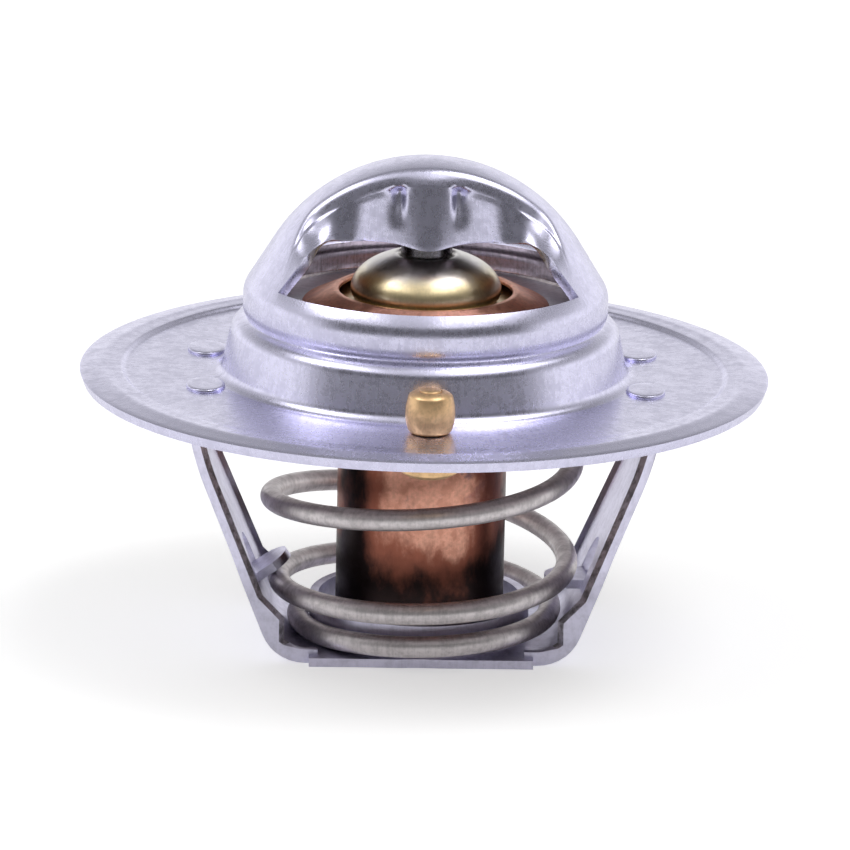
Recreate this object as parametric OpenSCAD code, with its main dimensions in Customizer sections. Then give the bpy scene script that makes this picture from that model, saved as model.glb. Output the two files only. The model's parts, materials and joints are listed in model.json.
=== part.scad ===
// Engine thermostat: a wax capsule pushes on a fixed piston and slides down, and takes
// the valve plate off its seat against a conical spring. The flange is clamped in a
// housing. The origin is the middle of the foot, and +Z points up to the domed bridge.

/* [Flange] */
// Diameter of the flange
flange_d = 54; // [46:0.5:70]
// Height of the flange's top over the foot
flange_top_h = 22; // [18:0.5:28]
// Thickness of the upper stamping
sheet_t = 0.8; // [0.6:0.05:1]
// Width of the raised rim
rim_w = 3.1; // [2.4:0.1:4]
// Depth of the sunk land inside the rim
land_drop = 0.3; // [0.1:0.05:0.5]

/* [Dome] */
// Outer diameter of the dome at its foot
dome_d = 28.6; // [23:0.2:35]
// Height of the dome's top over the flange's underside
dome_h = 17.55; // [14.5:0.1:21.2]
// Height of the crease between collar and dome
crease_h = 4.95; // [4.2:0.05:6]
// Height of the windows' sill over the crease
sill_h = 3.45; // [2.8:0.05:4.2]
// Width of the strap between the windows
strap_w = 5.4; // [4.5:0.1:6.5]
// Width of the pillars at the sill
pillar_w = 14; // [11.6:0.2:16.8]
// How far the folded lips reach below the dome's top
lip_drop = 6.45; // [5:0.05:7.8]

/* [Valve] */
// Travel of the valve
stroke = 8; // [6:0.5:8.5]
// Thickness of the valve plate
plate_t = 0.6; // [0.4:0.05:0.8]
// Gap between the closed plate and its seat
seat_gap = 0.1; // [0.05:0.01:0.2]

/* [Capsule] */
// Outer diameter of the wax cup
cup_d = 13.3; // [11:0.1:15.5]
// Wall of the wax cup
cup_t = 0.6; // [0.4:0.05:0.8]
// Height of the cup's bottom over the foot
cup_bottom_h = 1; // [0.5:0.1:2]
// Diameter of the piston
piston_d = 4; // [3.3:0.1:4.8]
// Outer diameter of the guide's neck
guide_d = 11.8; // [9.6:0.1:12.4]
// Running clearance round the piston
piston_gap = 0.04; // [0.02:0.01:0.08]

/* [Spring] */
// Diameter of the wire
wire_d = 1.7; // [1.4:0.05:2.05]
// Clearance between the lowest coil and the base's collar
coil_gap = 0.05; // [0.02:0.01:0.15]
// Radius of the wire's centre at the widest coil
coil_wide_r = 11.9; // [11.4:0.1:12]
// Turns at full pitch
open_turns = 1.7; // [1.4:0.1:2.1]
// How much higher the open coils are on the left than upright ones
coil_lean = 0.4; // [0:0.05:0.45]

/* [Lower frame] */
// Thickness of the lower frame's sheet
frame_t = 0.7; // [0.55:0.05:0.8]
// Distance from the lowest coil out to the legs' faces at the ground
foot_gap = 1.05; // [0.95:0.05:1.8]
// Width of the legs just under the flange
leg_top_w = 11.6; // [10:0.2:13]
// Width of the legs at the foot
leg_foot_w = 15.8; // [13.6:0.2:17]
// How far the base reaches past its collar at the sides
base_margin = 0.2; // [0.1:0.05:1.6]
// Clearance between the wax cup and the base's collar
cup_gap = 1.35; // [1:0.05:1.5]

/* [Jiggle pin] */
// Diameter of the hole in the flange
jiggle_hole_d = 2.2; // [1.9:0.1:2.6]
// Diameter of the shank
jiggle_shank_d = 1.6; // [1.3:0.1:1.8]
// Diameter of the upper weight
jiggle_head_d = 3.8; // [3.2:0.1:4.4]
// Height of the upper weight
jiggle_head_h = 3.3; // [2.8:0.1:4]
// Free travel of the pin
jiggle_travel = 1.5; // [1.2:0.1:1.8]

/* [Hidden] */
$fn = 96;

// Heights over the foot
under_z = flange_top_h - sheet_t;
land_z = flange_top_h - land_drop;
land_under_z = land_z - sheet_t;
crease_z = under_z + crease_h;
sill_z = crease_z + sill_h;
dome_z = under_z + dome_h;
lip_z = dome_z - lip_drop;

// Middle surface of the upper stamping
mid = sheet_t / 2;
dome_r = dome_d / 2;
knee_rise = 2.23;
knee_r = 2 - mid;
knee_z = crease_z + knee_rise;
cap_share = 0.81;
cap_a = cap_share * 2 * atan((dome_z - knee_z) / dome_r);
cap_r = (dome_r * sin(cap_a) - (dome_z - knee_z) * cos(cap_a)) / (1 - cos(cap_a));
cap_z = dome_z - cap_r;
knee_c = [dome_r - 2, knee_z - 2 * tan(45 - cap_a / 2)];
shoulder_r = 1.2 - mid;
shoulder_c = [dome_r - 0.22, crease_z - 1.42];
shoulder_a = 55;
wall_a = 12;
root_r = 0.95 + mid;
root_z = land_z - mid + root_r;
wall_l = (shoulder_c[1] + (shoulder_r + root_r) * sin(wall_a) - root_z) / cos(wall_a);
root_c = [shoulder_c[0] + (shoulder_r + root_r) * cos(wall_a) + wall_l * sin(wall_a), root_z];
crease_c = [dome_r - mid - 0.18, crease_z - 0.21];
flange_r = flange_d / 2;
step_w = 0.6;
jiggle_r = root_c[0] - 0.46 + jiggle_head_d / 2;
step_r = max(flange_r - rim_w, jiggle_r + jiggle_head_d / 2 + step_w);
shell_path = concat(
    arc([0, cap_z], cap_r - mid, 90, 90 - cap_a, 14),
    arc(knee_c, knee_r, 90 - cap_a, 0, 4),
    [[dome_r - mid, crease_z + 1.05], crease_c],
    arc(shoulder_c, shoulder_r, shoulder_a, wall_a, 4),
    arc(root_c, root_r, 180 + wall_a, 270, 6),
    [[step_r - step_w, land_z - mid], [step_r, flange_top_h - mid], [flange_r, flange_top_h - mid]]);

// Windows, strap and lips of the dome
sill_r = dome_r - (sill_z - knee_z) * tan(90 - cap_a);
corner_x = sqrt(pow(sill_r, 2) - pow(pillar_w / 2, 2));
strap_x = 0.42 * dome_r;
strap_flare = (pillar_w - strap_w) / 2 / pow(corner_x - strap_x, 2);
strap_steps = 14;
corner_past = 0.4;
lip_arc_r = 36;
socket_r = piston_d / 2 + sheet_t;
socket_gap = 0.02;
socket_top_z = dome_z - 2 * sheet_t;

// Valve plate under the seat
inner_crease = [dome_r - sheet_t - 0.18, crease_z - 0.42];
seat_n = [cos(shoulder_a), sin(shoulder_a)];
seat_d = inner_crease * seat_n - seat_gap;
plate_top_z = crease_z + 0.75;
plate_wall_r = inner_crease[0] - 0.27;
plate_r = shoulder_c[0] + 0.17;
plate_under_z = plate_top_z - plate_t;
plate_hole_gap = 0.1;

// Wax cup, guide and what is inside
cup_r = cup_d / 2;
neck_r = cup_r + 0.15;
head_r = neck_r + 2.9;
head_z = plate_top_z;
lip_r = guide_d / 2 + 0.95;
lip_top_z = head_z + 1.45;
guide_r = guide_d / 2;
guide_bulge_z = head_z + 1.5;
guide_bulge_h = 3.1;
guide_flange_r = head_r - cup_t - 0.3;
sleeve_t = 1;
sleeve_r = piston_d / 2 + sleeve_t;
washer_t = 0.6;
bore_r = piston_d / 2 + piston_gap;
inner_gap = 0.02;
piston_hold = 5;
piston_tip_z = plate_under_z - piston_hold - stroke;

// Collar of the base, and the spring between base and plate
wire_r = wire_d / 2;
collar_r = cup_r + cup_gap + frame_t / 2;
collar_h = 3.35;
collar_root_r = 0.7;
coil_bottom_r = collar_r + frame_t / 2 + coil_gap + wire_r;
coil_top_r = plate_wall_r - plate_t - 0.1 - wire_r;
end_pitch = 2.9;
close_pitch = wire_d + 0.05;
start_turns = 0.95;
blend_turns = 0.5;
close_turns = 0.9;
start_a = -144;
start_lead = 0.14;
coil_z0 = frame_t + wire_r + 0.08;
coil_z1 = plate_under_z - wire_r - 0.05;
open_pitch = (coil_z1 - coil_z0 - (start_turns + blend_turns / 2) * end_pitch
    - (close_turns + blend_turns / 2) * close_pitch) / (open_turns + blend_turns);
turn_a = start_turns;
turn_b = turn_a + blend_turns;
turn_c = turn_b + open_turns;
turn_d = turn_c + blend_turns;
turn_e = turn_d + close_turns;
coil_rise_a = end_pitch * turn_a;
coil_rise_b = coil_rise_a + (end_pitch + open_pitch) / 2 * blend_turns;
coil_rise_c = coil_rise_b + open_pitch * open_turns;
ring_sides = 12;
rings_per_turn = 26;

// Lower frame
foot_half = coil_bottom_r + wire_r + foot_gap;
leg_x = root_c[0] + 2.03;
leg_bend_r = 22.5;
leg_bend_c = [leg_x - leg_bend_r, flange_top_h + 0.1];
leg_from = [foot_half, 0] - leg_bend_c;
leg_a = atan2(leg_from[1], leg_from[0]) + acos(leg_bend_r / norm(leg_from));
corner_r = 3.6;
corner_c = [foot_half - corner_r * tan(45 + leg_a / 2), corner_r];
leg_path = concat(
    [[corner_c[0] - 1, 0]],
    arc(corner_c, corner_r, -90, leg_a, 7),
    arc(leg_bend_c, leg_bend_r, leg_a, asin((land_under_z - leg_bend_c[1]) / leg_bend_r), 8));
side_depth = 1.1;
gusset_x = coil_bottom_r + wire_r + 0.25;
gusset_z = 3.4;
gusset_rise = 1.9;
foot_in_x = corner_c[0] - 0.32;
base_w = 2 * (collar_r + frame_t / 2 + base_margin);

// Tabs that hold the spring: the left one lies on its first turn, the right one under its second
tab_w = 3.8;
tab_l = 3.3;
tab_gap = 0.15;
tab_rise_left = 34;
tab_rise_most = 14;
held_coil = coil_at((180 - start_a) / 360);
tab_z = (held_coil[2] * cos(tab_rise_left) + wire_r + frame_t / 2 + tab_gap
    - sin(tab_rise_left) * (held_coil[0] + foot_half - frame_t / 2))
    / (cos(tab_rise_left) + tan(-leg_a) * sin(tab_rise_left));
tab_x = foot_half + tab_z * tan(-leg_a) - frame_t;
next_coil = coil_at(1 - start_a / 360);
tab_rise_right = min(tab_rise_most, atan((next_coil[2] - wire_r - 2 * tab_gap - tab_z - frame_t / 2)
    / (tab_x + frame_t / 2 - next_coil[0])));

// Tangs at the tops of the legs, staked over on the land
tang_in_r = root_c[0] + 0.55;
tang_out_r = tang_in_r + 2.65;
tang_w = 3;
tang_y = 4.9;
tang_h = 0.2;
tang_gap = 0.05;
pad_r = 2.75;
pad_c = [tang_in_r + 0.93, 5.5];
shoulder_w = 2 * tang_y + tang_w + 0.6;

// Jiggle pin
jiggle_y = -jiggle_r;
jiggle_disc_d = 4.7;
jiggle_disc_h = 1;
jiggle_seat_gap = 0.02;
rivet_h = 0.08;

function arc(c, r, a0, a1, steps) =
    [for (i = [0:steps]) c + r * [cos(a0 + (a1 - a0) * i / steps), sin(a0 + (a1 - a0) * i / steps)]];

// Unit normal on the right-hand side of the way from p to q
function side(p, q) = [(q - p)[1], -(q - p)[0]] / norm(q - p);

// Point i of a path, moved sideways by d with mitred corners
function moved(path, i, d) =
    let (last = len(path) - 1,
         n0 = side(path[max(i - 1, 0)], path[max(i, 1)]),
         n1 = side(path[min(i, last - 1)], path[min(i + 1, last)]),
         m = (n0 + n1) / norm(n0 + n1))
    path[i] + m * d / (m * n0);
function beside(path, d) = [for (i = [0:len(path) - 1]) moved(path, i, d)];
function turned_back(path) = [for (i = [len(path) - 1:-1:0]) path[i]];
function band(path, d0, d1) = concat(beside(path, d0), turned_back(beside(path, d1)));

// Half the width of the bridge's strap at x
function strap_half(x) = strap_w / 2 + strap_flare * pow(max(0, abs(x) - strap_x), 2);
strap_line = [for (i = [-strap_steps:strap_steps])
    let (x = (corner_x + corner_past) * i / strap_steps) [x, strap_half(x)]];

// Height and radius of the wire's centre after t turns
function ramp(t, t0, p0, p1) = p0 * (t - t0) + (p1 - p0) * pow(t - t0, 2) / 2 / blend_turns;
function coil_rise(t) =
    t < turn_a ? end_pitch * max(0, t) :
    t < turn_b ? coil_rise_a + ramp(t, turn_a, end_pitch, open_pitch) :
    t < turn_c ? coil_rise_b + open_pitch * (t - turn_b) :
    t < turn_d ? coil_rise_c + ramp(t, turn_c, open_pitch, close_pitch) :
    coil_z1 - coil_z0 - close_pitch * (turn_e - t);
function share(x, x0, x1) = min(1, max(0, (x - x0) / (x1 - x0)));
function coil_r(t) =
    coil_bottom_r + (coil_wide_r - coil_bottom_r) * (1 - pow(1 - share(t, 0, 2.15), 2))
    - (coil_wide_r - coil_top_r) * share(t, turn_c, turn_d);
function coil_angle(t) = start_a + 360 * t;
function coil_at(t) =
    let (a = coil_angle(t), s = share(t, 0, 0.6) * share(turn_e - t, close_turns, 2))
    [coil_r(t) * cos(a), coil_r(t) * sin(a), coil_z0 + coil_rise(t) - coil_lean * s * cos(a)];
function wire_ring(t) =
    let (step = 0.01, c = coil_at(t), ahead = coil_at(t + step) - coil_at(t - step),
         w = ahead / norm(ahead), out = [cos(coil_angle(t)), sin(coil_angle(t)), 0],
         u = (out - (out * w) * w) / norm(out - (out * w) * w), v = cross(w, u))
    [for (k = [0:ring_sides - 1]) let (b = 360 * k / ring_sides) c + wire_r * (cos(b) * u + sin(b) * v)];

module sheet_of_revolution(path, t) {
    rotate_extrude() intersection() {
        polygon(band(path, t / 2, -t / 2));
        translate([0, -10]) square([2 * flange_d, 4 * flange_d]);
    }
}

// A flat outline in x and z, as deep as w in y
module upright(w) {
    rotate([90, 0, 0]) linear_extrude(w, center = true) children();
}

// What the dome encloses, out to the middle of its sheet
module dome_core() {
    rotate_extrude() polygon(concat([[0, crease_z], [dome_r - mid, crease_z]],
        arc(knee_c, knee_r, 0, 90 - cap_a, 4), arc([0, cap_z], cap_r - mid, 90 - cap_a, 90, 14)));
}

module window_outline(past) {
    end_x = corner_x + corner_past;
    polygon(concat(strap_line, [[end_x, past], [-end_x, past]]));
}

module lip_band() {
    polygon(concat(strap_line, turned_back(beside(strap_line, sheet_t))));
}

module tang_outline(gap) {
    for (sx = [-1, 1], sy = [-1, 1])
        translate([sx * (leg_x - frame_t / 2), sy * tang_y])
            square([frame_t + 2 * gap, tang_w + 2 * gap], center = true);
}

// The staked ends of the tangs, as they lie on the land
module pad_outline() {
    intersection() {
        for (sx = [-1, 1], sy = [-1, 1])
            translate([sx * pad_c[0], sy * pad_c[1]]) circle(pad_r);
        difference() {
            circle(tang_out_r);
            circle(tang_in_r);
        }
    }
}

module bridge_flange() {
    color("lavender") difference() {
        union() {
            difference() {
                sheet_of_revolution(shell_path, sheet_t);
                for (s = [0, 1]) mirror([0, s, 0])
                    translate([0, 0, sill_z]) linear_extrude(dome_h) window_outline(dome_d);
            }
            intersection() {
                dome_core();
                union() {
                    for (s = [0, 1]) mirror([0, s, 0])
                        linear_extrude(dome_z + 1) lip_band();
                    cylinder(r = socket_r, h = dome_z + 1);
                }
                translate([0, 0, lip_z + lip_arc_r])
                    rotate([90, 0, 0]) cylinder(r = lip_arc_r, h = dome_d, center = true);
            }
        }
        cylinder(r = piston_d / 2 + socket_gap, h = socket_top_z + socket_gap);
        translate([0, jiggle_y, 0]) cylinder(d = jiggle_hole_d, h = dome_z);
        linear_extrude(flange_top_h + 1) tang_outline(tang_gap);
    }
}

// One leg, with its web, side lips, hole and tangs
module leg(tab_rise) {
    difference() {
        intersection() {
            upright(2 * leg_foot_w) polygon(band(leg_path, 0, -frame_t));
            leg_width(0);
        }
        translate([0, 0, tab_z]) rotate([90, 0, 90]) linear_extrude(2 * leg_x) tab_outline();
    }
    intersection() {
        upright(2 * leg_foot_w) side_outline();
        difference() {
            leg_width(0);
            leg_width(frame_t);
        }
    }
    translate([tab_x + frame_t / 2, 0, tab_z]) rotate([0, tab_rise - 90, 0])
        rotate([90, 0, 90]) translate([0, 0, -frame_t / 2]) linear_extrude(frame_t) tab_outline();
    translate([0, 0, land_under_z - 0.01]) linear_extrude(flange_top_h - land_drop - land_under_z + tang_h)
        intersection() {
            tang_outline(0);
            translate([0, -flange_d]) square(2 * flange_d);
        }
    translate([0, 0, land_z]) linear_extrude(tang_h) intersection() {
        pad_outline();
        translate([0, -flange_d]) square(2 * flange_d);
    }
}

// The leg's outline seen along x, made narrower by d on each side
module leg_width(d) {
    rotate([90, 0, 90]) linear_extrude(2 * leg_x)
        polygon([for (s = [1, -1], p = (s > 0 ? leg_half_widths : turned_back(leg_half_widths)))
            [s * (p[0] - d), p[1]]]);
}
leg_half_widths = [[leg_foot_w / 2, -1], [leg_foot_w / 2, 1], [leg_top_w / 2, land_under_z - 2],
    [shoulder_w / 2, land_under_z - 0.8], [shoulder_w / 2, land_under_z]];

// Side lips of a leg, deeper as a gusset at the corner
module side_outline() {
    polygon(band(leg_path, 0, -side_depth));
    intersection() {
        polygon(concat(leg_path, [[0, land_z], [0, 0]]));
        polygon([[gusset_x, 0], [2 * foot_half, 0], [2 * foot_half, gusset_z + gusset_rise],
            [gusset_x + gusset_rise, gusset_z + gusset_rise], [gusset_x, gusset_z]]);
    }
}

module tab_outline() {
    translate([-tab_w / 2, 0]) square([tab_w, tab_l - tab_w / 3]);
    intersection() {
        translate([0, tab_l - tab_w / 2]) circle(tab_w / 2);
        translate([-tab_w / 2, 0]) square([tab_w, tab_l]);
    }
}

module base_outline() {
    square([2 * foot_in_x, base_w], center = true);
    square([2 * corner_c[0] - 0.6, leg_foot_w], center = true);
}

module lower_frame() {
    color("gainsboro") {
        difference() {
            linear_extrude(frame_t) base_outline();
            cylinder(r = collar_r + collar_root_r, h = 4 * frame_t, center = true);
        }
        intersection() {
            sheet_of_revolution(concat([[collar_r, collar_h]],
                arc([collar_r + collar_root_r, frame_t / 2 + collar_root_r], collar_root_r, 180, 270, 5),
                [[collar_r + collar_root_r + 0.2, frame_t / 2]]), frame_t);
            linear_extrude(2 * collar_h) base_outline();
        }
        leg(tab_rise_right);
        mirror([1, 0, 0]) leg(tab_rise_left);
    }
}

module spring() {
    turns = start_lead + turn_e;
    rings = ceil(turns * rings_per_turn);
    points = [for (i = [0:rings]) each wire_ring(turns * i / rings - start_lead)];
    sides = [for (i = [0:rings - 1], k = [0:ring_sides - 1])
        let (a = i * ring_sides, next = (k + 1) % ring_sides)
        [a + k, a + next, a + ring_sides + next, a + ring_sides + k]];
    color("dimgray") polyhedron(points, concat(sides,
        [[for (k = [ring_sides - 1:-1:0]) k]],
        [[for (k = [0:ring_sides - 1]) rings * ring_sides + k]]));
}

// A stepped disc: flat round the cup, then down and out along the seat
module valve_plate() {
    rim_in_z = (seat_d - plate_wall_r * seat_n[0]) / seat_n[1];
    rim_out_z = (seat_d - plate_r * seat_n[0]) / seat_n[1];
    color("silver") rotate_extrude()
        polygon([[neck_r + plate_hole_gap, plate_top_z], [plate_wall_r - 0.4, plate_top_z],
            [plate_wall_r, plate_top_z - 0.4], [plate_wall_r, rim_in_z], [plate_r, rim_out_z],
            [plate_r - plate_t * seat_n[0], rim_out_z - plate_t * seat_n[1]],
            [plate_wall_r - plate_t, rim_in_z - plate_t],
            [plate_wall_r - plate_t, plate_under_z], [neck_r + plate_hole_gap, plate_under_z]]);
}

// Cup with a wide head that is crimped over the guide's flange
module wax_cup() {
    floor_r = 1.2;
    color("peru") rotate_extrude() difference() {
        polygon(concat(
            [[0, cup_bottom_h]], arc([cup_r - floor_r, cup_bottom_h + floor_r], floor_r, -90, 0, 6),
            [[cup_r, plate_under_z - 1], [neck_r, plate_under_z - 0.6], [neck_r, head_z],
             [head_r, head_z], [head_r, head_z + 0.25], [lip_r + 0.35, lip_top_z],
             [lip_r, lip_top_z], [lip_r - 0.1, lip_top_z - 0.35], [0, lip_top_z - 0.35]]));
        polygon([[-1, cup_bottom_h + cup_t], [cup_r - cup_t, cup_bottom_h + cup_t],
            [cup_r - cup_t, head_z + 0.3], [guide_flange_r + inner_gap, head_z + 0.3],
            [guide_flange_r + inner_gap, head_z + 0.45], [lip_r, lip_top_z - 0.35],
            [lip_r - 0.1, lip_top_z], [-1, lip_top_z + 1]]);
    }
}

// Domed guide, with a small countersink round the piston
module guide() {
    mouth_w = 0.4;
    mouth_a = acos((bore_r + mouth_w) / guide_r);
    mouth_z = guide_bulge_z + guide_bulge_h * sin(mouth_a);
    color("gold") rotate_extrude() difference() {
        union() {
            polygon(concat([[bore_r, head_z + 0.3], [guide_flange_r, head_z + 0.3],
                [guide_flange_r, head_z + 0.4], [guide_r - 0.2, head_z + 0.75]],
                [for (a = [0:7.5:mouth_a]) [guide_r * cos(a), guide_bulge_z + guide_bulge_h * sin(a)]],
                [[bore_r + mouth_w, mouth_z], [bore_r, mouth_z - 0.35]]));
            translate([bore_r, head_z - 2]) square([cup_r - cup_t - inner_gap - bore_r, 2.3]);
        }
        translate([bore_r - 1, head_z - 2]) square([sleeve_r + 0.6 - bore_r + 1, washer_t + 0.1]);
    }
}

module sleeve_washer() {
    color("white") translate([0, 0, head_z - 2]) difference() {
        cylinder(r = sleeve_r + 0.55, h = washer_t);
        translate([0, 0, -1]) cylinder(r = bore_r, h = washer_t + 2);
    }
}

// Thick rubber sleeve, closed at the bottom, with a flange under the guide
module rubber_sleeve() {
    color("black") difference() {
        union() {
            translate([0, 0, head_z - 3]) cylinder(r = cup_r - cup_t - inner_gap, h = 1);
            translate([0, 0, piston_tip_z - sleeve_t]) cylinder(r = sleeve_r, h = head_z - 2.5 - piston_tip_z + sleeve_t);
        }
        translate([0, 0, piston_tip_z - inner_gap]) cylinder(r = bore_r, h = 2 * dome_h);
    }
}

module wax_charge() {
    color("khaki") rotate_extrude() polygon([[0, cup_bottom_h + cup_t],
        [cup_r - cup_t - inner_gap, cup_bottom_h + cup_t], [cup_r - cup_t - inner_gap, head_z - 3],
        [sleeve_r + inner_gap, head_z - 3], [sleeve_r + inner_gap, piston_tip_z - sleeve_t - inner_gap],
        [0, piston_tip_z - sleeve_t - inner_gap]]);
}

module piston() {
    tip = 0.4;
    color("slategray") rotate_extrude() polygon([[0, piston_tip_z],
        [piston_d / 2 - tip, piston_tip_z], [piston_d / 2, piston_tip_z + tip],
        [piston_d / 2, socket_top_z - tip], [piston_d / 2 - tip, socket_top_z], [0, socket_top_z]]);
}

// Shank and lower disc, hung by the weight riveted on its top
module jiggle_pin() {
    bottom_z = land_under_z - jiggle_travel - jiggle_disc_h;
    color("goldenrod") translate([0, jiggle_y, bottom_z]) rotate_extrude() polygon([[0, 0],
        [jiggle_disc_d / 2 - 0.7, 0], [jiggle_disc_d / 2, 0.4], [jiggle_disc_d / 2, jiggle_disc_h],
        [jiggle_shank_d / 2, jiggle_disc_h], [jiggle_shank_d / 2, land_z + jiggle_head_h - bottom_z],
        [jiggle_shank_d / 2 - 0.25, land_z + jiggle_head_h + rivet_h - bottom_z],
        [0, land_z + jiggle_head_h + rivet_h - bottom_z]]);
}

module jiggle_weight() {
    belly = 0.25;
    r = jiggle_head_d / 2;
    color("darkgoldenrod") translate([0, jiggle_y, land_z + jiggle_seat_gap]) rotate_extrude()
        polygon([[jiggle_shank_d / 2, 0], [r - 2 * belly, 0], [r - belly, 0.2],
            [r - 0.03, jiggle_head_h * 0.3], [r, jiggle_head_h * 0.45], [r - 0.03, jiggle_head_h * 0.6],
            [r - belly, jiggle_head_h - 0.35], [r - 2.4 * belly, jiggle_head_h - 0.15],
            [jiggle_shank_d / 2, jiggle_head_h]]);
}

bridge_flange();
lower_frame();
spring();
valve_plate();
wax_cup();
guide();
rubber_sleeve();
sleeve_washer();
wax_charge();
piston();
jiggle_pin();
jiggle_weight();
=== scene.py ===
import json
import math

import bmesh
import bpy
import numpy as np
from mathutils import Matrix, Vector


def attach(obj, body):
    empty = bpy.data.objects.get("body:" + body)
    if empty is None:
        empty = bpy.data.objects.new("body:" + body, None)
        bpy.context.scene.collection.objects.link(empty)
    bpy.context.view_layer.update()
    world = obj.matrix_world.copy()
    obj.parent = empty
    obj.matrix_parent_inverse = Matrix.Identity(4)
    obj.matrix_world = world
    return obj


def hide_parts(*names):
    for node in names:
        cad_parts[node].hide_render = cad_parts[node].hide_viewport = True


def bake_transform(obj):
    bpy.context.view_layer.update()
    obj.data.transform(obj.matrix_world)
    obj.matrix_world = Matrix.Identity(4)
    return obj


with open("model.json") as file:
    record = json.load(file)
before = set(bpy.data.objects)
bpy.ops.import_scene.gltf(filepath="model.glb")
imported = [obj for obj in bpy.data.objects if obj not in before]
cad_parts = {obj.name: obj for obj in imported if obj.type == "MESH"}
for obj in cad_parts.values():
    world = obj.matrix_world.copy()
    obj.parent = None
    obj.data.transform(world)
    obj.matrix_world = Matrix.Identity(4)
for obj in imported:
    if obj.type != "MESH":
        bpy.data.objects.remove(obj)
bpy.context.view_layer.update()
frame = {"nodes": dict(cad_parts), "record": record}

MM = 0.001

# Camera
VIEW_ELEVATION = 15.05
VIEW_TURN = 1.7
VIEW_ROLL = 1.27
VIEW_DISTANCE = 0.5
IMAGE_HALF = 425
TARGET_PX = (424, 376.5)
PX_PER_M = 12734

# Sizes in mm that the finer meshes share with the CAD source
SHEET = 0.8
FLANGE_R = 27.0
FLANGE_TOP = 22.0
UNDER = 21.2
LAND = 21.7
STEP_R = 23.9
DOME_R = 14.3
CREASE = 26.15
SILL = 29.6
DOME_TOP = 38.75
KNEE = CREASE + 2.23
PILLAR_HALF = 7.0
STRAP_HALF = 2.25
STRAP_X = 8.6
CUP_R = 6.65
HEAD = 26.9
PLATE_UNDER = 26.3
PISTON_R = 2.0
PISTON_Z = (13.3, 37.15)
SOCKET_R = 2.8
SOCKET_Z = (UNDER + 12.3, 37.9)
GUIDE_R = 5.9
WIRE_R = 0.85
JIGGLE_Y = -18.16
JIGGLE_HOLE_R = 1.1
SHANK_R = 0.8
STEP_W = 0.6
KNEE_R = 2.0
SHOULDER_R = 1.2
ROOT_R = 0.95
FOOT_COIL = (1.63, 9.6)
TOP_COIL = (25.4, 11.5)
WIDE_COIL_R = 11.9

CAP_A = 0.81 * 2 * math.atan((DOME_TOP - KNEE) / DOME_R)
CAP_R = (DOME_R * math.sin(CAP_A) - (DOME_TOP - KNEE) * math.cos(CAP_A)) / (1 - math.cos(CAP_A))
CAP_Z = DOME_TOP - CAP_R
KNEE_C = (DOME_R - 2, KNEE - 2 * math.tan(math.pi / 4 - CAP_A / 2))
SILL_R = DOME_R - (SILL - KNEE) / math.tan(CAP_A)
CORNER_X = math.sqrt(SILL_R ** 2 - PILLAR_HALF ** 2)
STRAP_FLARE = (PILLAR_HALF - STRAP_HALF) / (CORNER_X - STRAP_X) ** 2
SHOULDER_C = (DOME_R - 0.22, CREASE - 1.42)
ROOT_C = (16.72, 22.65)


def mount_at(name):
    """The place of one of the record's mounts."""
    return Vector(next(m["pos_m"] for m in frame["record"]["mounts"] if m["name"] == name))


def make_camera():
    """The photograph's view: the axis at the flange's underside falls on TARGET_PX."""
    target = Vector((0, 0, mount_at("flange_seat").z))
    turn = Matrix.Rotation(math.radians(-VIEW_TURN), 3, "Z")
    rise = math.radians(VIEW_ELEVATION)
    forward = turn @ Vector((0, math.cos(rise), -math.sin(rise)))
    roll = Matrix.Rotation(math.radians(-VIEW_ROLL), 3, forward)
    right = roll @ turn @ Vector((1, 0, 0))
    up = right.cross(forward)
    eye = target - VIEW_DISTANCE * forward
    aim = target + right * (IMAGE_HALF - TARGET_PX[0]) / PX_PER_M - up * (IMAGE_HALF - TARGET_PX[1]) / PX_PER_M
    data = bpy.data.cameras.new("photo_view")
    camera = bpy.data.objects.new("photo_view", data)
    bpy.context.scene.collection.objects.link(camera)
    look = (aim - eye).normalized()
    right = look.cross(up).normalized()
    up = right.cross(look)
    camera.matrix_world = Matrix((
        (right.x, up.x, -look.x, eye.x), (right.y, up.y, -look.y, eye.y),
        (right.z, up.z, -look.z, eye.z), (0, 0, 0, 1)))
    data.sensor_width = 36
    data.lens = data.sensor_width / 2 * VIEW_DISTANCE * PX_PER_M / IMAGE_HALF
    data.clip_start, data.clip_end = 0.01, 10
    bpy.context.scene.camera = camera


# Shader helpers
def add(tree, kind, ins=None, **props):
    """A node of that kind with its properties and inputs set; an input may be a socket."""
    n = tree.nodes.new(kind)
    for key, value in props.items():
        setattr(n, key, value)
    for key, value in (ins or {}).items():
        if isinstance(value, bpy.types.NodeSocket):
            tree.links.new(value, n.inputs[key])
        else:
            n.inputs[key].default_value = value
    return n


def calc(tree, op, a, b=0.0, c=0.0):
    return add(tree, "ShaderNodeMath", {0: a, 1: b, 2: c}, operation=op).outputs[0]


def noise(tree, vector, scale, detail=3.0, rough=0.55):
    return add(tree, "ShaderNodeTexNoise",
               {"Vector": vector, "Scale": scale, "Detail": detail, "Roughness": rough}).outputs[0]


def between(tree, value, low, high, to_low=0.0, to_high=1.0):
    """value moved from low..high to to_low..to_high, with soft ends."""
    return add(tree, "ShaderNodeMapRange",
               {0: value, 1: low, 2: high, 3: to_low, 4: to_high}, interpolation_type="SMOOTHSTEP").outputs[0]


def mixed(tree, factor, a, b):
    n = add(tree, "ShaderNodeMix", data_type="RGBA")
    for socket, value in ((n.inputs[0], factor), (n.inputs[6], a), (n.inputs[7], b)):
        if isinstance(value, bpy.types.NodeSocket):
            tree.links.new(value, socket)
        else:
            socket.default_value = (*value, 1) if isinstance(value, tuple) else value
    return n.outputs[2]


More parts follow.
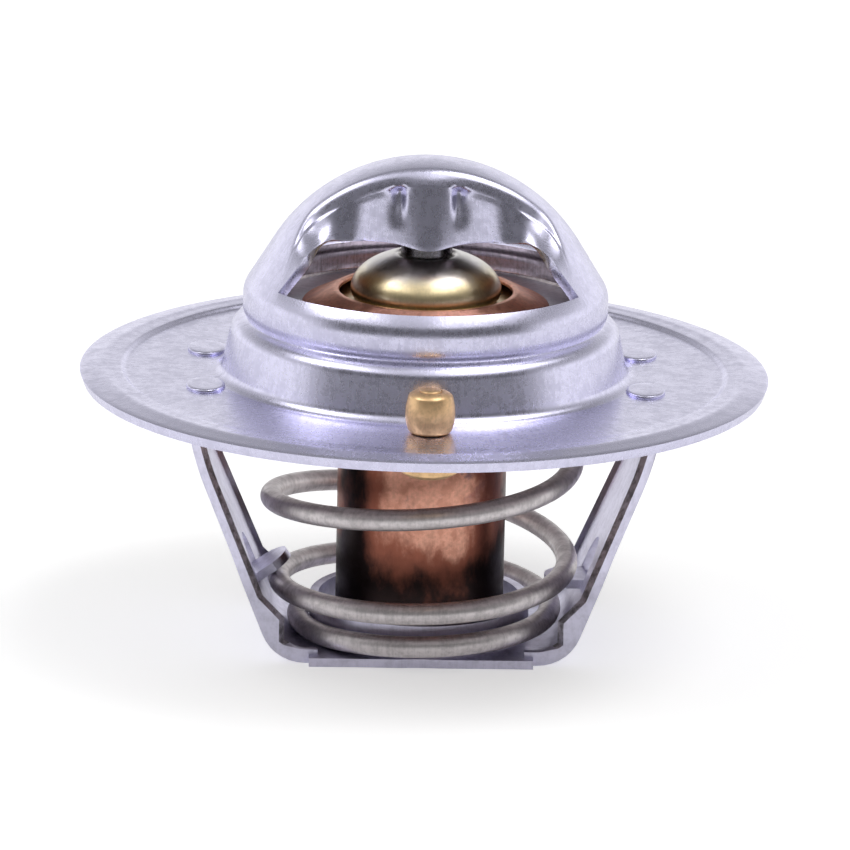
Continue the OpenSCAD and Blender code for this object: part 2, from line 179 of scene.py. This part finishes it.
def ramp(tree, value, stops):
    n = add(tree, "ShaderNodeValToRGB", {0: value})
    n.color_ramp.interpolation = "EASE"
    while len(n.color_ramp.elements) < len(stops):
        n.color_ramp.elements.new(0.5)
    for element, (place, level) in zip(n.color_ramp.elements, stops):
        element.position = place
        element.color = (*level, 1) if isinstance(level, tuple) else (level, level, level, 1)
    return n.outputs[0]


def metal(name, colour, rough, wear=0.25, lines=0.5, bump=0.25, grain=3200, coat=0.0):
    """Bare metal with fine grain and drawing lines round the part's axis; wear darkens it in places."""
    mat = bpy.data.materials.new(name)
    mat.use_nodes = True
    t = mat.node_tree
    shader = t.nodes["Principled BSDF"]
    place = add(t, "ShaderNodeTexCoord").outputs["Object"]
    x, y, z = add(t, "ShaderNodeSeparateXYZ", {0: place}).outputs
    angle = calc(t, "ARCTAN2", x, calc(t, "MULTIPLY", y, -1.0))
    out = calc(t, "SQRT", calc(t, "ADD", calc(t, "MULTIPLY", x, x), calc(t, "MULTIPLY", y, y)))
    along = add(t, "ShaderNodeCombineXYZ", {
        0: calc(t, "MULTIPLY", angle, 70.0), 1: calc(t, "MULTIPLY", out, 420.0),
        2: calc(t, "MULTIPLY", z, 420.0)}).outputs[0]
    drawn = noise(t, along, 1.0, 3.0)
    fine = noise(t, place, grain, 2.0)
    cloud = noise(t, place, 900.0, 5.0, 0.6)
    mottle = calc(t, "ADD", calc(t, "MULTIPLY", drawn, lines),
                  calc(t, "ADD", calc(t, "MULTIPLY", fine, 0.3), calc(t, "MULTIPLY", cloud, 0.7 - lines)))
    dark = tuple(c * (1 - wear) for c in colour)
    t.links.new(mixed(t, between(t, mottle, 0.36, 0.6), dark, colour), shader.inputs["Base Color"])
    t.links.new(between(t, mottle, 0.35, 0.65, rough + 0.08, rough - 0.04), shader.inputs["Roughness"])
    shader.inputs["Metallic"].default_value = 1.0
    shader.inputs["Coat Weight"].default_value = coat
    shader.inputs["Coat Roughness"].default_value = 0.25
    height = calc(t, "ADD", calc(t, "MULTIPLY", fine, 0.5), calc(t, "MULTIPLY", drawn, lines))
    t.links.new(add(t, "ShaderNodeBump", {"Strength": bump, "Distance": 0.00006, "Height": height}).outputs[0],
                shader.inputs["Normal"])
    return mat


def copper_with_stains_and_painted_shade():
    """Copper of the wax cup: salmon in the middle, nearly black at the bottom, with painted shade that darkens the
    sides nearly to black; streaks and blots of stain.
    """
    mat = metal("copper", (0.95, 0.49, 0.36), 0.36, wear=0.25, lines=0.1)
    t = mat.node_tree
    shader = t.nodes["Principled BSDF"]
    bare = shader.inputs["Base Color"].links[0].from_socket
    place = add(t, "ShaderNodeTexCoord").outputs["Object"]
    x, _, z = add(t, "ShaderNodeSeparateXYZ", {0: place}).outputs
    blots = noise(t, place, 260.0, 6.0, 0.65)
    small = noise(t, place, 900.0, 4.0, 0.6)
    upright = add(t, "ShaderNodeMapping", {0: place, 1: (0.013, 0.0, 0.0), 3: (1.0, 1.0, 0.55)}).outputs[0]
    runs = noise(t, upright, 230.0, 6.0, 0.62)
    body = between(t, z, 0.0225, 0.0215)
    low = between(t, z, 0.0115, 0.0035)
    # painted shade: the cup's left and right sides, across the view, darken to brown and black
    side = calc(t, "MAXIMUM", between(t, x, 0.0032, 0.0062), between(t, x, -0.0012, -0.0056))
    # dark mask: darker towards the bottom, the painted side shade, and vertical streaks of stain
    streaks_and_painted_shade = calc(t, "ADD", calc(t, "MULTIPLY", low, 0.8), calc(t, "MULTIPLY", side, 0.62))
    streaks_and_painted_shade = calc(t, "ADD", streaks_and_painted_shade, calc(t, "MULTIPLY", calc(t, "SUBTRACT", runs, 0.5), 1.9))
    brown = calc(t, "MULTIPLY", between(t, streaks_and_painted_shade, 0.02, 0.4), body)
    black = calc(t, "MULTIPLY", between(t, streaks_and_painted_shade, 0.38, 0.9), body)
    skin = mixed(t, calc(t, "MULTIPLY", between(t, small, 0.48, 0.64), 0.55), bare, (0.46, 0.19, 0.13))
    high = calc(t, "MULTIPLY", between(t, z, 0.0105, 0.0150), body)
    skin = mixed(t, calc(t, "MULTIPLY", between(t, blots, 0.5, 0.6), calc(t, "MULTIPLY", high, 0.75)), skin,
                 (0.20, 0.12, 0.17))
    skin = mixed(t, brown, skin, (0.34, 0.12, 0.08))
    t.links.new(mixed(t, black, skin, (0.035, 0.024, 0.024)), shader.inputs["Base Color"])
    return mat


def brass_with_painted_grey_reflection():
    """Gold on the guide's lower half that turns to silvery grey towards the piston; the grey is a painted reflection
    of the pale surroundings.
    """
    mat = metal("guide_brass", (0.95, 0.78, 0.46), 0.33, wear=0.2, lines=0.1, bump=0.12, coat=1.0)
    t = mat.node_tree
    shader = t.nodes["Principled BSDF"]
    gold = shader.inputs["Base Color"].links[0].from_socket
    place = add(t, "ShaderNodeTexCoord").outputs["Object"]
    z = add(t, "ShaderNodeSeparateXYZ", {0: place}).outputs[2]
    height = calc(t, "ADD", z, calc(t, "MULTIPLY", noise(t, place, 300.0), 0.0012))
    # painted reflection: the brass turns silvery grey above about 30 mm
    t.links.new(mixed(t, between(t, height, 0.0301, 0.0314), gold, (0.80, 0.76, 0.74)), shader.inputs["Base Color"])
    return mat


# Mesh helpers
def arc(c, r, a0, a1, n):
    return [(c[0] + r * math.cos(math.radians(a0 + (a1 - a0) * i / n)),
             c[1] + r * math.sin(math.radians(a0 + (a1 - a0) * i / n))) for i in range(n + 1)]


def rounded(points, r, steps=4):
    """A closed outline with its corners rounded."""
    out = []
    n = len(points)
    for i in range(n):
        p, q, s = (np.array(points[k % n], float) for k in (i - 1, i, i + 1))
        a, b = p - q, s - q
        la, lb = np.linalg.norm(a), np.linalg.norm(b)
        if la < 1e-6 or lb < 1e-6 or q[0] < 1e-6 or np.dot(a, b) / la / lb < -0.97:
            out.append(tuple(q))
            continue
        cut = min(r, 0.4 * la, 0.4 * lb)
        p, s = q + a / la * cut, q + b / lb * cut
        for k in range(steps + 1):
            f = k / steps
            out.append(tuple((1 - f) ** 2 * p + 2 * f * (1 - f) * q + f ** 2 * s))
    return out


def solid(name, verts, faces, material, body, nodes=(), even=True, merge=1e-3):
    """An object of these vertices in mm, which rides on a body and stands for CAD nodes."""
    mesh = bpy.data.meshes.new(name)
    mesh.from_pydata([tuple(float(c) for c in v) for v in verts], [], faces)
    bm = bmesh.new()
    bm.from_mesh(mesh)
    bmesh.ops.remove_doubles(bm, verts=bm.verts, dist=merge)
    bmesh.ops.recalc_face_normals(bm, faces=bm.faces)
    bmesh.ops.scale(bm, vec=(MM, MM, MM), verts=bm.verts)
    bm.to_mesh(mesh)
    bm.free()
    for polygon in mesh.polygons:
        polygon.use_smooth = True
    mesh.materials.append(material)
    obj = bpy.data.objects.new(name, mesh)
    bpy.context.scene.collection.objects.link(obj)
    if even:
        obj.modifiers.new("even", "WEIGHTED_NORMAL").keep_sharp = True
    if body:
        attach(obj, body)
    if nodes:
        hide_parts(*nodes)
    return obj


def grid_faces(rows, columns, start=0, closed=False):
    """Faces of a grid whose vertices lie row after row."""
    last = columns if closed else columns - 1
    return [(start + i * columns + k, start + i * columns + (k + 1) % columns,
             start + (i + 1) * columns + (k + 1) % columns, start + (i + 1) * columns + k)
            for i in range(rows - 1) for k in range(last)]


def lathe(name, outline, material, body, nodes=(), y=0.0, steps=192):
    """A solid of revolution about the upright axis through y."""
    outline = list(outline) + [outline[0]]
    verts = [(p[0] * math.cos(2 * math.pi * k / steps), y + p[0] * math.sin(2 * math.pi * k / steps), p[1])
             for p in outline for k in range(steps)]
    return solid(name, verts, grid_faces(len(outline), steps, closed=True), material, body, nodes)


def soften(obj, width, angle):
    """Rounds the edges sharper than the angle and evens the shading."""
    edge = obj.modifiers.new("edges", "BEVEL")
    edge.width = width * MM
    edge.segments = 3
    edge.limit_method = "ANGLE"
    edge.angle_limit = math.radians(angle)
    edge.use_clamp_overlap = True
    obj.modifiers.new("even", "WEIGHTED_NORMAL").keep_sharp = True


# Bridge and flange
def dome_z(r):
    """Height of the dome's outer side at the radius r."""
    if r < CAP_R * math.sin(CAP_A):
        return CAP_Z + math.sqrt(CAP_R ** 2 - r * r)
    return KNEE + (DOME_R - r) * math.tan(CAP_A)


def soft(f):
    """A step from 0 to 1 with soft ends."""
    f = min(1.0, max(0.0, f))
    return f * f * (3 - 2 * f)


def strap_half(x):
    """Half the strap's width at x; it flares towards the pillars."""
    return STRAP_HALF + STRAP_FLARE * max(0.0, abs(x) - STRAP_X) ** 2


def stamping_outline():
    """The outer side of the stamping from the windows' sill out to the rim."""
    knee = math.degrees(CAP_A)
    line = [(SILL_R, SILL)] + arc(KNEE_C, KNEE_R, 90 - knee, 0, 12)
    line += [(DOME_R, CREASE + 0.95), (DOME_R - 0.02, CREASE + 0.6), (DOME_R - 0.09, CREASE + 0.32),
             (DOME_R - 0.2, CREASE + 0.12), (DOME_R - 0.26, CREASE - 0.03), (DOME_R - 0.14, CREASE - 0.14),
             (DOME_R + 0.08, CREASE - 0.23)]
    line += arc(SHOULDER_C, SHOULDER_R, 62, 12, 9)
    line += arc(ROOT_C, ROOT_R, 192, 270, 11)
    step = STEP_R - STEP_W
    line += [(ROOT_C[0] + (step - ROOT_C[0]) * k / 8, LAND) for k in range(1, 8)]
    for k in range(9):
        f = k / 8
        line.append((step + STEP_W * f, LAND + (FLANGE_TOP - LAND) * f * f * (3 - 2 * f)))
    line += [(24.4, FLANGE_TOP), (24.75, FLANGE_TOP + 0.01), (25.0, FLANGE_TOP + 0.035),
             (25.2, FLANGE_TOP + 0.045), (25.4, FLANGE_TOP + 0.03), (25.7, FLANGE_TOP - 0.02),
             (26.1, FLANGE_TOP - 0.09), (26.5, FLANGE_TOP - 0.15), (26.8, FLANGE_TOP - 0.2),
             (FLANGE_R, FLANGE_TOP - 0.27)]
    return line


LIP_COLUMNS = 150
STRAP_ROWS = 44
# The lip's lower edge at the middle, its two bends and the slope between them
LIP_EDGE_Z = UNDER + 11.72
UPPER_BEND_R, LOWER_BEND_R = 0.85, 0.3
LIP_SLOPE = 68.0
FULL_LIP_DEPTH = 3.2
# The rib's width, and the pockets beside it
RIB_W = 1.95
POCKET_X, POCKET_DEPTH = 2.25, 0.8


def lip_rows(x):
    """The folded lip at x, as points (x, y, z) in mm from the strap's edge down."""
    half = strap_half(x)
    top = dome_z(math.hypot(x, half))
    bottom = (LIP_EDGE_Z - 0.42 * math.exp(-(x / 2.4) ** 2) - 0.42 * max(0.0, abs(x) - 7.4) ** 1.2
              - max(0.0, abs(x) - 10.2) ** 2)
    depth = max(0.0, top - max(bottom, SILL))
    bottom = top - depth
    k = min(1.0, depth / FULL_LIP_DEPTH)
    r = math.hypot(x, half)
    fall = (top - dome_z(r + 0.01)) / 0.01 * half / r
    start = math.degrees(math.atan(fall))
    outer = soft((abs(x) - 4.8) / 1.4)
    plumb = 90.5 - 14.0 * outer
    flat, end = soft((abs(x) - 6.6) / 3.8), soft((abs(x) - 8.0) / 3.4)
    d, z, rows = 0.0, top, []

    def turn(radius, a0, a1, n):
        nonlocal d, z
        for i in range(n):
            a, b = (math.radians(a0 + (a1 - a0) * j / n) for j in (i, i + 1))
            d += radius * (math.sin(b) - math.sin(a))
            z -= radius * (math.cos(a) - math.cos(b))
            rows.append((d, z))

    def straight(length, angle, n):
        nonlocal d, z
        for _ in range(n):
            d += length / n * math.cos(math.radians(angle))
            z -= length / n * math.sin(math.radians(angle))
            rows.append((d, z))

    rows.append((d, z))
    turn(UPPER_BEND_R * k, start, LIP_SLOPE, 9)
    straight(0.75 * k, LIP_SLOPE, 4)
    bend_z = z
    turn(LOWER_BEND_R * k, LIP_SLOPE, plumb, 4)
    left = max(0.0, z - bottom)
    straight(left, plumb - 3, 14)
    points = []
    for i, (d, z) in enumerate(rows):
        w = max(0.0, top - z)
        rib = math.exp(-(abs(x) / RIB_W) ** 2)
        ribbed = 0.85 * min(1, w / 0.6) ** 0.5 + 0.31 * max(0.0, w - 0.5)
        d += rib * max(0.0, ribbed - d) * min(1.0, w / 1.2)
        pocket = math.exp(-((abs(x) - POCKET_X) / (0.42 if abs(x) < POCKET_X else 0.75)) ** 2)
        d -= POCKET_DEPTH * k * pocket * soft((w - 1.0) / 0.6) * soft((4.6 - w) / 3.0)
        crease = math.exp(-((z - bend_z + 0.08) / 0.2) ** 2)
        d -= 0.07 * k * crease * min(1.0, max(0.0, abs(x) - 2.6) / 0.8) * (1 - outer)
        share = i / (len(rows) - 1)
        y = half + (PILLAR_HALF - half) * share
        on_dome = np.array((x, y, dome_z(math.hypot(x, y))))
        folded = np.array((x, half + d, z))
        points.append(folded + (on_dome - folded) * flat * (share ** 2 + end * (1 - share ** 2)))
    return points


def pierce(mesh, y, r, sides=64):
    """Cuts a round hole in the land and fills the flat patch round it again."""
    bm = bmesh.new()
    bm.from_mesh(mesh)
    centre = Vector((0, y, LAND)) * MM
    patch = {f for f in bm.faces if any((v.co - centre).length < (r + 0.25) * MM for v in f.verts)}
    border = [e for e in bm.edges if sum(f in patch for f in e.link_faces) == 1]
    bmesh.ops.delete(bm, geom=list(patch), context="FACES")
    rim = [bm.verts.new(centre + Vector((math.cos(a), math.sin(a), 0)) * r * MM)
           for a in (2 * math.pi * k / sides for k in range(sides))]
    edges = border + [bm.edges.new((rim[k - 1], rim[k])) for k in range(sides)]
    filled = bmesh.ops.triangle_fill(bm, edges=edges, use_beauty=True, normal=(0, 0, 1))
    for face in (g for g in filled["geom"] if isinstance(g, bmesh.types.BMFace)):
        face.smooth = True
        face.normal_update()
        if face.normal.z < 0:
            face.normal_flip()
    bm.to_mesh(mesh)
    bm.free()


def bridge(material, inside):
    """The upper stamping as one skin that is thickened inwards, and the piston's socket."""
    columns = [-1 + 2 * i / LIP_COLUMNS for i in range(LIP_COLUMNS + 1)]
    across = [-1 + 2 * i / STRAP_ROWS for i in range(STRAP_ROWS + 1)]
    verts, faces = [], []
    for v in across:
        end = math.sqrt(SILL_R ** 2 - (PILLAR_HALF * v) ** 2)
        for g in columns:
            x, y = end * g, v * strap_half(CORNER_X * g)
            verts.append((x, y, dome_z(math.hypot(x, y))))
    faces += grid_faces(len(across), len(columns))
    lips = [lip_rows(CORNER_X * g) for g in columns]
    for side in (1, -1):
        start = len(verts)
        for row in range(len(lips[0])):
            verts += [(lip[row][0], side * lip[row][1], lip[row][2]) for lip in lips]
        faces += grid_faces(len(lips[0]), len(columns), start)
    pillar = [math.asin(PILLAR_HALF * v / SILL_R) for v in across]
    gap = [pillar[-1] + (math.pi - 2 * pillar[-1]) * i / 100 for i in range(1, 100)]
    angles = pillar + gap + [math.pi + a for a in pillar] + [math.pi + a for a in gap]
    outline = stamping_outline()
    start = len(verts)
    verts += [(r * math.cos(a), r * math.sin(a), z) for r, z in outline for a in angles]
    faces += grid_faces(len(outline), len(angles), start, closed=True)
    obj = solid("bridge_flange_sheet", verts, faces, material, None, even=False, merge=4e-4)
    obj.data.materials.append(inside)
    up = sum(p.normal.z for p in obj.data.polygons)
    if up < 0:
        obj.data.flip_normals()
    pierce(obj.data, JIGGLE_Y, JIGGLE_HOLE_R)
    thick = obj.modifiers.new("sheet", "SOLIDIFY")
    thick.thickness = SHEET * MM
    thick.offset = -1
    # the inner side takes the second material, which is painted shade
    thick.material_offset = 1
    thick.use_even_offset = False
    soften(obj, 0.13, 55)
    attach(obj, "frame")
    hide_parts("bridge_flange")
    bore = PISTON_R + 0.02
    boss = rounded([(bore, SOCKET_Z[0]), (SOCKET_R, SOCKET_Z[0]), (SOCKET_R, SOCKET_Z[1]), (bore, SOCKET_Z[1])], 0.2)
    lathe("piston_socket", boss, material, "frame", ("bridge_flange",))
    return obj


# Spring
def spring(material):
    """The conical spring as a swept round wire whose ends are rounded off."""
    turns = (0.95, 0.5, 1.7, 0.5, 0.9)
    marks = np.concatenate(([0], np.cumsum(turns)))
    first, tight = 2.9, 1.75
    z0, z1 = FOOT_COIL[0], TOP_COIL[0]
    free = (z1 - z0 - (turns[0] + turns[1] / 2) * first - (turns[4] + turns[3] / 2) * tight) / (turns[2] + turns[1])
    pitch = lambda t: np.interp(t, marks, [first, first, free, free, tight, tight]) * (t > 0)
    ts = np.linspace(-0.14, marks[-1], 420)
    dt = ts[1] - ts[0]
    rise = np.concatenate(([0], np.cumsum((pitch(ts[1:]) + pitch(ts[:-1])) / 2 * dt)))
    rise *= (z1 - z0) / rise[-1]
    share = lambda v, a, b: np.clip((v - a) / (b - a), 0, 1)
    radius = (FOOT_COIL[1] + (WIDE_COIL_R - FOOT_COIL[1]) * (1 - (1 - share(ts, 0, 2.15)) ** 2)
              - (WIDE_COIL_R - TOP_COIL[1]) * share(ts, marks[3], marks[4]))
    a = np.radians(-144 + 360 * ts)
    lean = 0.4 * share(ts, 0, 0.6) * share(marks[5] - ts, turns[4], 2)
    line = np.stack((radius * np.cos(a), radius * np.sin(a), z0 + rise - lean * np.cos(a)), 1)
    ahead = np.gradient(line, axis=0)
    ahead /= np.linalg.norm(ahead, axis=1)[:, None]
    out = np.stack((np.cos(a), np.sin(a), 0 * a), 1)
    u = out - (out * ahead).sum(1)[:, None] * ahead
    u /= np.linalg.norm(u, axis=1)[:, None]
    v = np.cross(ahead, u)
    sides = 28
    verts = []
    sizes = [(0, 0.0), (0, 0.78), (0, 0.93)] + [(i, 1.0) for i in range(1, len(ts) - 1)] + [
        (len(ts) - 1, 0.93), (len(ts) - 1, 0.78), (len(ts) - 1, 0.0)]
    for i, size in sizes:
        for k in range(sides):
            b = 2 * math.pi * k / sides
            verts.append(line[i] + WIRE_R * size * (math.cos(b) * u[i] + math.sin(b) * v[i]))
    obj = solid("spring_wire", verts, grid_faces(len(sizes), sides, closed=True), material, None, even=False)
    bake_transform(obj)
    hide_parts("spring")
    return obj


# Lower frame
FRAME_T = 0.7
LEG_HALF = ((1, 7.9), (18.9, 5.8), (20.1, 6.7), (20.9, 6.7))
LEG_OUTER = ((0, 9.09), (0.2, 10.28), (0.45, 10.83), (0.79, 11.34), (1.21, 11.78), (1.69, 12.14), (2.23, 12.42),
             (13.56, 17.06), (14.44, 17.41), (15.33, 17.71), (16.24, 17.97), (17.16, 18.2), (18.08, 18.39),
             (18.9, 18.52), (19.96, 18.65), (20.89, 18.75))


def lower_frame(material, cut):
    """The CAD mesh with the legs' side lips bent to 45 degrees and the cut edges rounded and rough."""
    bm = bmesh.new()
    bm.from_mesh(frame["nodes"]["lower_frame"].data)
    bmesh.ops.remove_doubles(bm, verts=bm.verts, dist=1e-7)
    bmesh.ops.dissolve_limit(bm, angle_limit=math.radians(0.6), verts=bm.verts, edges=bm.edges)
    for z in (6.2, 7.4, 8.6, 10.5):
        bmesh.ops.bisect_plane(bm, geom=bm.verts[:] + bm.edges[:] + bm.faces[:], dist=1e-7,
                               plane_co=(0, 0, z * MM), plane_no=(0, 0, 1))
    bmesh.ops.delete(bm, geom=[f for f in bm.faces if all(v.co.z > (LAND - 0.03) * MM for v in f.verts)],
                     context="FACES")
    tips, behind = set(), set()
    for v in bm.verts:
        x, y, z = v.co / MM
        half = np.interp(z, *zip(*LEG_HALF))
        outer = np.interp(z, *zip(*LEG_OUTER))
        q, g = half - abs(y), outer - abs(x)
        if abs(x) < 9.5 or z > 19.6 or z < 1.3:
            continue
        bent = soft((z - 5.8) / 3) * soft((19.6 - z) / 1.2)
        if abs(q) < 0.06 and g > 1.0:
            tips.add(v)
            v.co.x += math.copysign(0.42 * MM, x)
        elif abs(q - FRAME_T) < 0.06 and g > 1.0:
            behind.add(v)
        elif abs(q) < 0.06 and g < 0.2:
            v.co.y -= math.copysign(0.6 * bent * MM, y)
        elif abs(q - FRAME_T) < 0.06 and 0.6 < g < 1.0:
            v.co.y -= math.copysign(0.3 * bent * MM, y)
    for face in bm.faces:
        face.smooth = True
        if all(v in tips or v in behind for v in face.verts) and any(v in tips for v in face.verts) \
                and any(v in behind for v in face.verts):
            face.material_index = 1
    mesh = bpy.data.meshes.new("lower_frame_sheet")
    bm.to_mesh(mesh)
    bm.free()
    mesh.materials.append(material)
    mesh.materials.append(cut)
    obj = bpy.data.objects.new("lower_frame_sheet", mesh)
    bpy.context.scene.collection.objects.link(obj)
    soften(obj, 0.14, 28)
    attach(obj, "frame")
    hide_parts("lower_frame")
    return obj


PAD_X, PAD_Y = 17.1, 5.6
PAD_HALF_X, PAD_HALF_Y = 1.5, 2.1


def clinched_pad(name, x, y, material):
    """A tang's end, flattened over the flange into a rounded pad."""
    outline = [(0.0, -0.1), (1.0, -0.1), (1.0, 0.16), (0.985, 0.2), (0.95, 0.23), (0.85, 0.25),
               (0.5, 0.26), (0.0, 0.26)]
    steps = 72
    verts = [(x + PAD_HALF_X * r * math.cos(2 * math.pi * k / steps),
              y + PAD_HALF_Y * r * math.sin(2 * math.pi * k / steps), LAND + z)
             for r, z in outline for k in range(steps)]
    return solid(name, verts, grid_faces(len(outline), steps, closed=True), material, "frame", ("lower_frame",))


make_camera()
steel = metal("stamped_steel", (0.80, 0.785, 0.99), 0.26, wear=0.11, lines=0.25, bump=0.2)
frame_steel = metal("frame_steel", (0.84, 0.82, 1.0), 0.36, wear=0.14, lines=0.2, bump=0.3)
cut_steel = metal("cut_steel", (0.90, 0.87, 0.98), 0.5, wear=0.6, lines=0.0, bump=1.0, grain=2200)
wire = metal("spring_steel", (0.84, 0.79, 0.80), 0.44, wear=0.25, lines=0.2, bump=0.15)
plate = metal("plate_steel", (0.62, 0.60, 0.70), 0.33, wear=0.2, lines=0.4)
copper = copper_with_stains_and_painted_shade()
brass = brass_with_painted_grey_reflection()
dull = metal("piston_steel", (0.30, 0.29, 0.29), 0.25, wear=0.35, lines=0.3)
pin = metal("pin_brass", (0.98, 0.66, 0.36), 0.40, wear=0.3, lines=0.2, bump=0.4)
# painted shade: a darker, pinkish copy of the steel for the inner side of the stamping
painted_shade_steel = metal("painted_shade_steel", (0.46, 0.41, 0.43), 0.2, wear=0.4, lines=0.3)
bridge(steel, painted_shade_steel)
spring(wire)
lathe("cup", rounded([
    (0, 1.0), (CUP_R - 1.2, 1.0), *arc((CUP_R - 1.2, 2.2), 1.2, -80, -10, 7), (CUP_R, 2.2),
    (CUP_R, PLATE_UNDER - 1), (CUP_R + 0.15, PLATE_UNDER - 0.6), (CUP_R + 0.15, HEAD), (9.7, HEAD),
    (9.7, HEAD + 0.25), (7.2, HEAD + 1.45), (6.85, HEAD + 1.45), (6.75, HEAD + 1.1), (8.7, HEAD + 0.45),
    (8.7, HEAD + 0.3), (CUP_R - 0.6, HEAD + 0.3), (CUP_R - 0.6, 1.6), (0, 1.6)], 0.18),
    copper, "valve", ("wax_cup",))
mouth = math.acos((PISTON_R + 0.44) / GUIDE_R)
bulge = [(GUIDE_R * math.cos(mouth * i / 22), HEAD + 1.5 + 3.1 * math.sin(mouth * i / 22)) for i in range(23)]
lathe("guide_dome", [(PISTON_R + 0.04, HEAD - 1.4), (CUP_R - 0.62, HEAD - 1.4), (CUP_R - 0.62, HEAD + 0.3),
                     (8.65, HEAD + 0.3), (8.65, HEAD + 0.4), (GUIDE_R - 0.35, HEAD + 0.62),
                     (GUIDE_R - 0.12, HEAD + 0.95), (GUIDE_R - 0.03, HEAD + 1.2)] + bulge
      + [(PISTON_R + 0.3, HEAD + 4.28), (PISTON_R + 0.12, HEAD + 4.1), (PISTON_R + 0.04, HEAD + 3.8)],
      brass, "valve", ("guide",))
lathe("piston_rod", rounded([
    (0, PISTON_Z[0]), (PISTON_R, PISTON_Z[0]), (PISTON_R, PISTON_Z[1]), (0, PISTON_Z[1])], 0.3),
    dull, "frame", ("piston",))
lathe("plate_disc", rounded([
    (6.9, HEAD), (12.65, HEAD), (13.05, HEAD - 0.4), (13.05, 25.71), (14.25, 24.87), (13.9, 24.38), (12.45, 25.41),
    (12.45, PLATE_UNDER), (6.9, PLATE_UNDER)], 0.15), plate, "valve", ("valve_plate",))
lathe("pin_body", rounded([
    (0, 18.4), (1.7, 18.4), (2.35, 18.8), (2.35, 19.4), (SHANK_R, 19.4), (SHANK_R, 25.0),
    (0.55, 25.08), (0, 25.08)], 0.12),
    pin, "jiggle", ("jiggle_pin",), y=JIGGLE_Y, steps=96)
lathe("pin_weight", rounded([
    (SHANK_R, 21.72), (1.45, 21.72), (1.68, 21.95), (1.86, 22.6), (1.9, 23.2), (1.87, 23.8), (1.68, 24.65),
    (1.35, 24.87), (SHANK_R, 25.0)], 0.25), pin, "jiggle", ("jiggle_weight",), y=JIGGLE_Y, steps=96)
lower_frame(frame_steel, cut_steel)
for name, x, y in (("pad_left_front", -PAD_X, -PAD_Y), ("pad_left_rear", -PAD_X, PAD_Y),
                   ("pad_right_front", PAD_X, -PAD_Y), ("pad_right_rear", PAD_X, PAD_Y)):
    clinched_pad(name, x, y, steel)


# Surroundings: a white table and backdrop, soft boxes above the front and the sides, a darker room in front
def studio():
    """The world that lights and mirrors in the part; camera rays see it white."""
    world = bpy.data.worlds.new("studio")
    bpy.context.scene.world = world
    world.use_nodes = True
    t = world.node_tree
    back = t.nodes["Background"]
    direction = add(t, "ShaderNodeTexCoord").outputs["Generated"]
    x, y, z = add(t, "ShaderNodeSeparateXYZ", {0: direction}).outputs
    rise = calc(t, "DIVIDE", calc(t, "ADD", calc(t, "ARCSINE", z), math.pi / 2), math.pi)
    flat = calc(t, "SQRT", calc(t, "ADD", calc(t, "MULTIPLY", x, x), calc(t, "MULTIPLY", y, y)))
    facing = calc(t, "DIVIDE", calc(t, "MULTIPLY", y, -1.0), calc(t, "MAXIMUM", flat, 0.001))
    at = lambda deg, level: ((deg + 90) / 180, level)
    front = ramp(t, rise, [at(-90, 0.75), at(-30, 0.75), at(-14, 0.45), at(0, 0.22), at(14, 0.1), at(36, 0.1),
                           at(48, 0.4), at(58, 1.1), at(74, 1.3), at(88, 0.4)])
    back_level = ramp(t, rise, [at(-90, 0.8), at(0, 1.0), at(11, 1.0), at(17, 0.85), at(24, 0.55), at(31, 0.4),
                                at(42, 0.22), at(80, 0.3), at(90, 0.4)])
    level = mixed(t, between(t, facing, 0.15, 0.55), back_level, front)
    boxes = calc(t, "MULTIPLY", between(t, z, 0.66, 0.76), between(t, z, 0.985, 0.93))
    boxes = calc(t, "MULTIPLY", boxes, between(t, facing, -0.7, -0.35))
    level = mixed(t, boxes, level, (1.6, 1.6, 1.6))
    gap = calc(t, "MULTIPLY", between(t, x, -0.46, -0.3), between(t, x, 0.14, 0.04))
    gap = calc(t, "MULTIPLY", gap, between(t, z, 0.5, 0.68))
    level = mixed(t, calc(t, "MULTIPLY", gap, 0.75), level, (0.3, 0.3, 0.3))
    ray = add(t, "ShaderNodeLightPath").outputs
    seen = calc(t, "MAXIMUM", ray["Is Camera Ray"], ray["Is Transmission Ray"])
    t.links.new(mixed(t, seen, level, (1.0, 1.0, 1.0)), back.inputs["Color"])
    back.inputs["Strength"].default_value = 1.0


def area(name, place, size, power, aim=(0, 0, 0.02)):
    data = bpy.data.lights.new(name, "AREA")
    data.energy = power
    data.size = size
    lamp = bpy.data.objects.new(name, data)
    bpy.context.scene.collection.objects.link(lamp)
    lamp.location = place
    lamp.rotation_euler = (Vector(aim) - Vector(place)).to_track_quat("-Z", "Y").to_euler()


studio()
area("left", (-0.50, -0.06, 0.60), 0.32, 0.7)
area("right", (0.25, -0.06, 0.70), 0.32, 0.9)
bpy.context.scene.view_settings.view_transform = "Standard"

bpy.ops.mesh.primitive_plane_add(size=3, location=(0, 0, 0))
floor = bpy.context.object
floor.name = "floor"
GLOW_SEEN, GLOW_IN_METAL, GLOW_ALWAYS = 0.4, 0.12, 0.08
paper = bpy.data.materials.new("paper")
paper.use_nodes = True
shader = paper.node_tree.nodes["Principled BSDF"]
shader.inputs["Base Color"].default_value = (0.8, 0.8, 0.8, 1)
shader.inputs["Roughness"].default_value = 0.9
shader.inputs["Emission Color"].default_value = (1, 1, 1, 1)
ray = add(paper.node_tree, "ShaderNodeLightPath").outputs
seen = calc(paper.node_tree, "MAXIMUM", ray["Is Camera Ray"], ray["Is Transmission Ray"])
faint = calc(paper.node_tree, "MULTIPLY_ADD", ray["Is Glossy Ray"], GLOW_IN_METAL, GLOW_ALWAYS)
glow = calc(paper.node_tree, "MULTIPLY_ADD", seen, GLOW_SEEN, faint)
paper.node_tree.links.new(glow, shader.inputs["Emission Strength"])
floor.data.materials.append(paper)
